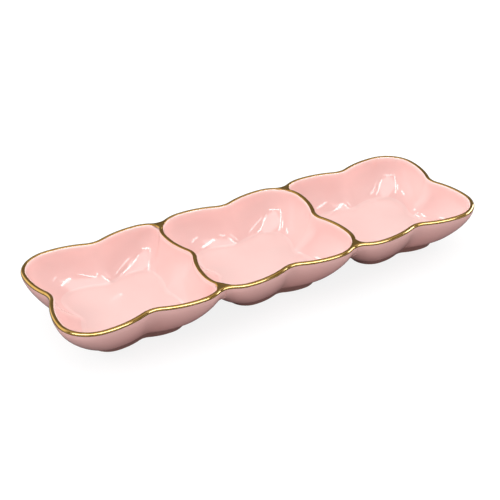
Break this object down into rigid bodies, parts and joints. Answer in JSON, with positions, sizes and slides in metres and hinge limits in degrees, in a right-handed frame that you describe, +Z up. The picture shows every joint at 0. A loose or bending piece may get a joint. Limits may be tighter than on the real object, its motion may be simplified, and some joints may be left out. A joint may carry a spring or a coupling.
{
  "type": "relish tray",
  "caption": "Glazed ceramic relish tray: lobed bowls joined in a row, each on a low foot ring, with a gilded rim.",
  "frame": {"origin": "centre of the tray on the plane that its feet stand on", "axes": "+X along the row of bowls towards the right bowl, +Y away from the front of the tray, +Z up"},
  "size_m": [0.3128, 0.1128, 0.034],
  "materials": {
    "pink_glaze": "high gloss",
    "gold_lustre": "polished fired-on gold"
  },
  "bodies": {
    "root": {"left_bowl": "pink_glaze", "middle_bowl": "pink_glaze", "right_bowl": "pink_glaze", "left_gilt_rim": "gold_lustre", "middle_gilt_rim": "gold_lustre", "right_gilt_rim": "gold_lustre", "left_foot_ring": "pink_glaze", "middle_foot_ring": "pink_glaze", "right_foot_ring": "pink_glaze"}
  },
  "joints": []
}
